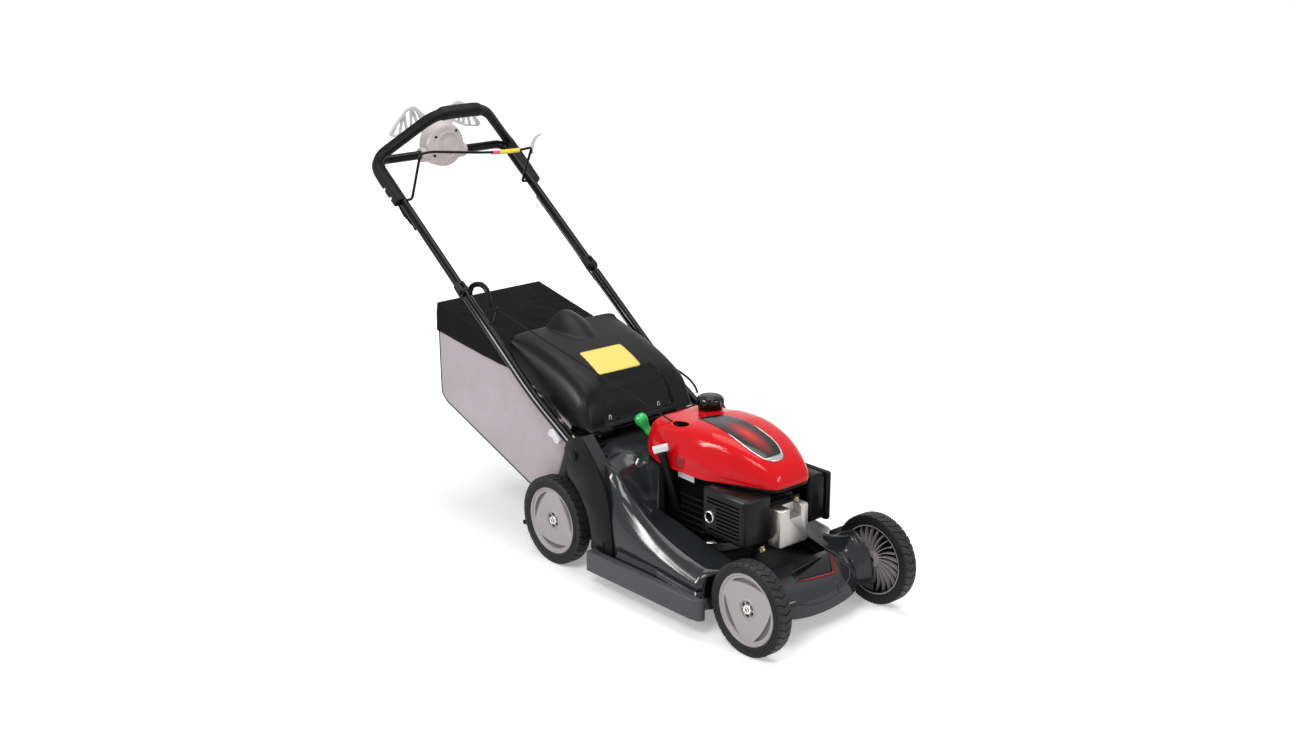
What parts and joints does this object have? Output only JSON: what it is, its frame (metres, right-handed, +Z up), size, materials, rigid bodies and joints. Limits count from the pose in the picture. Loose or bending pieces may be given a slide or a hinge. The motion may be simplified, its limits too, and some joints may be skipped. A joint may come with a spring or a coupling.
{
  "type": "lawn mower",
  "caption": "Walk-behind petrol lawn mower with a moulded deck, four wheels, vertical-crank engine, rear bag and folding handle with drive paddles and a bail.",
  "frame": {"origin": "middle of the overall length and width, on the ground the tyres stand on", "axes": "-Y towards the front wheels, +Y towards the handle, +Z up, +X to the user's left"},
  "size_m": [0.536, 1.647, 1.1039],
  "materials": {
    "deck_grey": "gloss",
    "dark_grey": "matt",
    "black_tube": "gloss",
    "light_grey": "satin",
    "tyre": "matt",
    "zinc": "satin",
    "steel": "satin",
    "cast_metal": "cast",
    "rubber": "matt",
    "aluminium": "satin",
    "black_metal": "matt",
    "black_plastic": "satin",
    "red_cover": "gloss",
    "pale_grey": "satin",
    "blade_steel": "satin",
    "black_rod": "satin",
    "bag_fabric": "matt",
    "black_cloth": "matt",
    "black_wire": "satin",
    "rope": "matt",
    "black_cable": "satin",
    "green_knob": "gloss"
  },
  "bodies": {
    "deck": {"deck_shell": "deck_grey", "side_skirt_right": "dark_grey", "side_skirt_left": "dark_grey", "tower_right": "deck_grey", "tower_left": "deck_grey", "hinge_rod": "steel", "discharge_chute": "dark_grey", "crankcase": "cast_metal", "head_cover": "aluminium", "muffler_guard": "black_metal", "air_cleaner_case": "black_plastic", "air_cleaner_cover": "black_plastic", "carburettor": "aluminium", "fan_housing": "black_plastic", "fuel_tank": "black_plastic", "engine_cover": "red_cover", "oil_filler_tube": "black_plastic", "lower_handle_right": "black_tube", "lower_handle_left": "black_tube", "control_cable_right": "black_cable", "control_cable_left": "black_cable", "return_spring": "steel", "starter_rope": "rope"},
    "front_adjuster": {"front_height_adjuster": "steel", "wheel_bolt_front_right": "zinc", "wheel_bolt_front_left": "zinc"},
    "rear_adjuster": {"rear_height_adjuster": "steel", "transmission": "cast_metal", "wheel_bolt_rear_right": "zinc", "wheel_bolt_rear_left": "zinc"},
    "wheel_front_right": {"rim_front_right": "light_grey", "tyre_front_right": "tyre"},
    "wheel_front_left": {"rim_front_left": "light_grey", "tyre_front_left": "tyre"},
    "wheel_rear_right": {"rim_rear_right": "light_grey", "tyre_rear_right": "tyre"},
    "wheel_rear_left": {"rim_rear_left": "light_grey", "tyre_rear_left": "tyre"},
    "crank": {"crankshaft": "steel", "flywheel": "cast_metal", "blade_lower": "blade_steel", "blade_upper": "blade_steel"},
    "fuel_cap": {"fuel_cap": "black_plastic"},
    "dipstick": {"dipstick": "pale_grey"},
    "folding_handle": {"upper_handle": "black_tube", "loop_cover": "black_plastic", "drive_housing": "light_grey"},
    "paddle_right": {"paddle_right": "light_grey"},
    "paddle_left": {"paddle_left": "light_grey"},
    "bail": {"bail": "black_rod"},
    "bail_lever": {"bail_lever": "pale_grey"},
    "hood": {"hood": "black_plastic"},
    "grass_bag": {"bag_shell": "bag_fabric", "bag_top": "black_cloth", "bag_frame": "black_wire"},
    "trail_flap": {"trail_flap": "rubber"},
    "starter_grip": {"starter_grip": "black_plastic"},
    "director_lever": {"director_lever": "green_knob"}
  },
  "joints": [
    {"name": "front_height", "type": "hinge", "parent": "deck", "child": "front_adjuster", "pos_m": [0, -0.6, 0.1], "axis": [1, 0, 0], "range_deg": [0, 24]},
    {"name": "rear_height", "type": "hinge", "parent": "deck", "child": "rear_adjuster", "pos_m": [0, -0.12, 0.1], "axis": [-1, 0, 0], "range_deg": [0, 24]},
    {"name": "wheel_spin_front_right", "type": "hinge", "parent": "front_adjuster", "child": "wheel_front_right", "pos_m": [-0.23, -0.7125, 0.115], "axis": [1, 0, 0], "continuous": true},
    {"name": "wheel_spin_front_left", "type": "hinge", "parent": "front_adjuster", "child": "wheel_front_left", "pos_m": [0.23, -0.7125, 0.115], "axis": [1, 0, 0], "continuous": true},
    {"name": "wheel_spin_rear_right", "type": "hinge", "parent": "rear_adjuster", "child": "wheel_rear_right", "pos_m": [-0.23, 0.0055, 0.118], "axis": [1, 0, 0], "continuous": true},
    {"name": "wheel_spin_rear_left", "type": "hinge", "parent": "rear_adjuster", "child": "wheel_rear_left", "pos_m": [0.23, 0.0055, 0.118], "axis": [1, 0, 0], "continuous": true},
    {"name": "crank_spin", "type": "hinge", "parent": "deck", "child": "crank", "pos_m": [0, -0.365, 0.2], "axis": [0, 0, 1], "continuous": true},
    {"name": "fuel_cap_turn", "type": "hinge", "parent": "deck", "child": "fuel_cap", "pos_m": [0.052, -0.287, 0.432], "axis": [0, 0, 1], "range_deg": [0, 180]},
    {"name": "dipstick_turn", "type": "hinge", "parent": "deck", "child": "dipstick", "pos_m": [-0.138, -0.318, 0.362], "axis": [-0.2633, 0.0929, 0.9602], "range_deg": [0, 180]},
    {"name": "handle_fold", "type": "hinge", "parent": "deck", "child": "folding_handle", "pos_m": [0, 0.385, 0.6575], "axis": [1, 0, 0], "range_deg": [0, 110], "deforming": ["control_cable_right", "control_cable_left"]},
    {"name": "paddle_push_right", "type": "hinge", "parent": "folding_handle", "child": "paddle_right", "pos_m": [0, 0.8133, 1.043], "axis": [1, 0, 0], "range_deg": [0, 16], "stiffness_Nm_per_rad": 0.6, "springref_deg": -11.46},
    {"name": "paddle_push_left", "type": "hinge", "parent": "folding_handle", "child": "paddle_left", "pos_m": [0, 0.8133, 1.043], "axis": [1, 0, 0], "range_deg": [0, 16], "stiffness_Nm_per_rad": 0.6, "springref_deg": -11.46},
    {"name": "bail_pull", "type": "hinge", "parent": "folding_handle", "child": "bail", "pos_m": [0, 0.66, 0.864], "axis": [-1, 0, 0], "range_deg": [0, 38], "stiffness_Nm_per_rad": 0.8, "springref_deg": -22.92},
    {"name": "bail_lever_press", "type": "hinge", "parent": "bail", "child": "bail_lever", "pos_m": [0.1963, 0.611, 0.965], "axis": [1, 0, 0], "range_deg": [0, 15], "stiffness_Nm_per_rad": 0.1, "springref_deg": -17.19},
    {"name": "hood_lift", "type": "hinge", "parent": "deck", "child": "hood", "pos_m": [0, -0.088, 0.364], "axis": [1, 0, 0], "range_deg": [0, 60]},
    {"name": "bag_off", "type": "slide", "parent": "deck", "child": "grass_bag", "axis": [0, 1, 0], "range_m": [0, 0.25]},
    {"name": "flap_swing", "type": "hinge", "parent": "deck", "child": "trail_flap", "pos_m": [0, 0.04, 0.1924], "axis": [1, 0, 0], "range_deg": [-15, 20]},
    {"name": "starter_pull", "type": "slide", "parent": "deck", "child": "starter_grip", "axis": [0, 0.8, 0.6], "range_m": [0, 0.2], "stiffness_N_per_m": 15, "springref_m": -0.15, "deforming": ["starter_rope"]},
    {"name": "director_turn", "type": "hinge", "parent": "deck", "child": "director_lever", "pos_m": [-0.0225, -0.181, 0.314], "axis": [0, 1, 0], "range_deg": [-12, 12]}
  ],
  "couplings": [
    {"joint": "paddle_push_left", "follows": "paddle_push_right", "ratio": 1}
  ]
}
